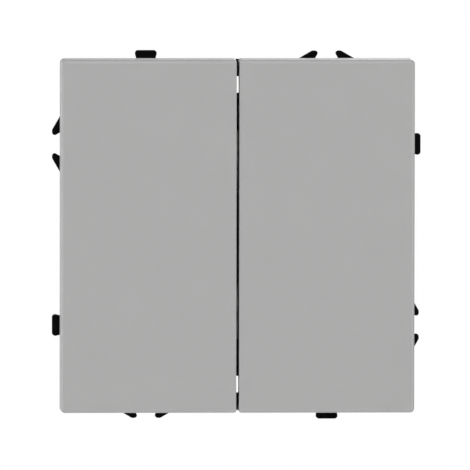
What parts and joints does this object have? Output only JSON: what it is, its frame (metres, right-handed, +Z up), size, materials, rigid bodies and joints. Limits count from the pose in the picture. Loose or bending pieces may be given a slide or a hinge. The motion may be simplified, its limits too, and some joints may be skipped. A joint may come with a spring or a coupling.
{
  "type": "rocker wall switch",
  "caption": "Wall switch insert for a round wall box: side-by-side light-grey rockers on a black couplable mounting frame, with steel yoke, expansion claws and screw terminals.",
  "frame": {"origin": "centre of the box-screw holes, on the rear face of the steel yoke, which is the wall plane", "axes": "+X to the right and +Z up as seen from the room, +Y into the wall"},
  "size_m": [0.0738, 0.0338, 0.0738],
  "materials": {
    "rocker": "satin moulded, light grey",
    "frame_black": "fine-textured black nylon",
    "steel": "zinc-plated sheet",
    "rivet": "zinc-plated",
    "housing": "thermoset, light grey",
    "cover": "mid-grey thermoplastic",
    "bearing": "black acetal",
    "insulator": "pressed laminate, brown",
    "actuator": "dark grey acetal",
    "plunger": "natural acetal",
    "spring": "spring wire",
    "brass": "stamped",
    "silver": "silver contact",
    "screw": "zinc-plated",
    "claw": "zinc-plated spring steel"
  },
  "bodies": {
    "root": {"mounting_frame": "frame_black", "steel_yoke": "steel", "frame_rivets": "rivet", "housing_base": "housing", "housing_cover": "cover", "centre_bearing": "bearing", "housing_screws": "screw", "contact_retainer": "insulator", "common_terminal": "brass", "output_terminal_left": "brass", "fixed_contact_left": "silver", "claw_pins_left": "screw", "output_terminal_right": "brass", "fixed_contact_right": "silver", "claw_pins_right": "screw"},
    "clamp_common": {"terminal_clamp_common": "claw"},
    "clamp_screw_common": {"terminal_screw_common": "screw"},
    "clamp_output_left": {"terminal_clamp_output_left": "claw"},
    "clamp_screw_output_left": {"terminal_screw_output_left": "screw"},
    "clamp_output_right": {"terminal_clamp_output_right": "claw"},
    "clamp_screw_output_right": {"terminal_screw_output_right": "screw"},
    "rocker_left": {"rocker_cap_left": "rocker", "actuator_left": "actuator", "plunger_left": "plunger", "plunger_spring_left": "spring"},
    "contact_left": {"contact_blade_left": "brass", "moving_contact_left": "silver"},
    "claw_screw_left": {"claw_screw_left": "screw"},
    "claw_nut_left": {"claw_nut_left": "claw"},
    "claw_left": {"claw_left": "claw"},
    "rocker_right": {"rocker_cap_right": "rocker", "actuator_right": "actuator", "plunger_right": "plunger", "plunger_spring_right": "spring"},
    "contact_right": {"contact_blade_right": "brass", "moving_contact_right": "silver"},
    "claw_screw_right": {"claw_screw_right": "screw"},
    "claw_nut_right": {"claw_nut_right": "claw"},
    "claw_right": {"claw_right": "claw"}
  },
  "joints": [
    {"name": "clamp_slide_common", "type": "slide", "parent": "root", "child": "clamp_common", "axis": [0, -1, 0], "range_m": [0, 0.0039]},
    {"name": "clamp_screw_turn_common", "type": "hinge", "parent": "clamp_common", "child": "clamp_screw_common", "pos_m": [0, 0, 0.0155], "axis": [0, -1, 0], "range_deg": [0, 2340]},
    {"name": "clamp_slide_output_left", "type": "slide", "parent": "root", "child": "clamp_output_left", "axis": [0, -1, 0], "range_m": [0, 0.0039]},
    {"name": "clamp_screw_turn_output_left", "type": "hinge", "parent": "clamp_output_left", "child": "clamp_screw_output_left", "pos_m": [-0.0095, 0, -0.0155], "axis": [0, -1, 0], "range_deg": [0, 2340]},
    {"name": "clamp_slide_output_right", "type": "slide", "parent": "root", "child": "clamp_output_right", "axis": [0, -1, 0], "range_m": [0, 0.0039]},
    {"name": "clamp_screw_turn_output_right", "type": "hinge", "parent": "clamp_output_right", "child": "clamp_screw_output_right", "pos_m": [0.0095, 0, -0.0155], "axis": [0, -1, 0], "range_deg": [0, 2340]},
    {"name": "rocker_tilt_left", "type": "hinge", "parent": "root", "child": "rocker_left", "pos_m": [0, -0.0042, 0], "axis": [1, 0, 0], "range_deg": [-4.4, 0]},
    {"name": "contact_tilt_left", "type": "hinge", "parent": "root", "child": "contact_left", "pos_m": [0, 0.01, 0], "axis": [1, 0, 0], "range_deg": [0, 10]},
    {"name": "claw_screw_turn_left", "type": "hinge", "parent": "root", "child": "claw_screw_left", "pos_m": [-0.0236, 0, 0], "axis": [0, 1, 0], "range_deg": [0, 5760]},
    {"name": "claw_nut_slide_left", "type": "slide", "parent": "root", "child": "claw_nut_left", "axis": [0, -1, 0], "range_m": [0, 0.008]},
    {"name": "claw_swing_left", "type": "hinge", "parent": "root", "child": "claw_left", "pos_m": [-0.0218, 0.002, 0], "axis": [0, 0, 1], "range_deg": [0, 25.25]},
    {"name": "rocker_tilt_right", "type": "hinge", "parent": "root", "child": "rocker_right", "pos_m": [0, -0.0042, 0], "axis": [1, 0, 0], "range_deg": [-4.4, 0]},
    {"name": "contact_tilt_right", "type": "hinge", "parent": "root", "child": "contact_right", "pos_m": [0, 0.01, 0], "axis": [1, 0, 0], "range_deg": [0, 10]},
    {"name": "claw_screw_turn_right", "type": "hinge", "parent": "root", "child": "claw_screw_right", "pos_m": [0.0236, 0, 0], "axis": [0, 1, 0], "range_deg": [0, 5760]},
    {"name": "claw_nut_slide_right", "type": "slide", "parent": "root", "child": "claw_nut_right", "axis": [0, -1, 0], "range_m": [0, 0.008]},
    {"name": "claw_swing_right", "type": "hinge", "parent": "root", "child": "claw_right", "pos_m": [0.0218, 0.002, 0], "axis": [0, 0, -1], "range_deg": [0, 25.25]}
  ],
  "couplings": [
    {"joint": "clamp_screw_turn_common", "follows": "clamp_slide_common", "rad_per_m": 10472},
    {"joint": "clamp_screw_turn_output_left", "follows": "clamp_slide_output_left", "rad_per_m": 10472},
    {"joint": "clamp_screw_turn_output_right", "follows": "clamp_slide_output_right", "rad_per_m": 10472},
    {"joint": "contact_tilt_left", "follows": "rocker_tilt_left", "ratio": -2.27},
    {"joint": "claw_screw_turn_left", "follows": "claw_nut_slide_left", "rad_per_m": 12566},
    {"joint": "claw_swing_left", "follows": "claw_nut_slide_left", "rad_per_m": 55.087},
    {"joint": "contact_tilt_right", "follows": "rocker_tilt_right", "ratio": -2.27},
    {"joint": "claw_screw_turn_right", "follows": "claw_nut_slide_right", "rad_per_m": 12566},
    {"joint": "claw_swing_right", "follows": "claw_nut_slide_right", "rad_per_m": 55.087}
  ]
}
